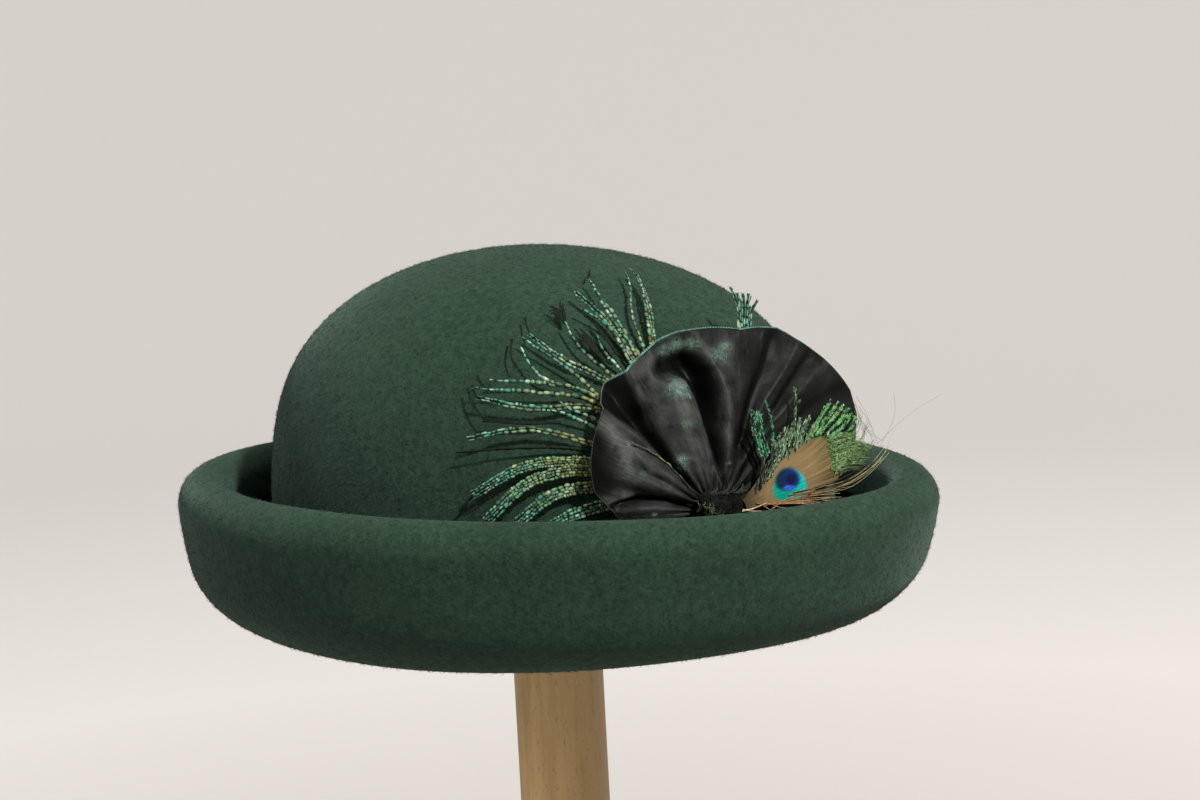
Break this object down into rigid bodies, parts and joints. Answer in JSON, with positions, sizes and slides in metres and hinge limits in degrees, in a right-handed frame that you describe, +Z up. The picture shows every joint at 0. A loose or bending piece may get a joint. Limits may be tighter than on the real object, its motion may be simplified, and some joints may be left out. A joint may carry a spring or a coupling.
{
  "type": "breton hat on a wooden stand",
  "caption": "Felt breton hat with a round crown and a rolled-up brim, trimmed with a gathered satin fan and peacock feathers, on a round wooden post stand.",
  "frame": {"origin": "middle of the stand base's underside, on the post's axis", "axes": "+Z up along the post, -Y towards the front of the hat, +X to the wearer's left"},
  "size_m": [0.2336, 0.2676, 0.323],
  "materials": {
    "felt": "matt wool felt with a short nap",
    "satin": "satin",
    "feather": "silky, iridescent",
    "herl": "iridescent",
    "wood": "bare, fine sanded"
  },
  "bodies": {
    "root": {"crown": "felt", "brim": "felt", "satin_fan": "satin", "fan_knot": "satin", "eye_feather": "feather", "herl_spray": "herl", "stand_base": "wood", "stand_post": "wood", "stand_head": "wood"}
  },
  "joints": []
}
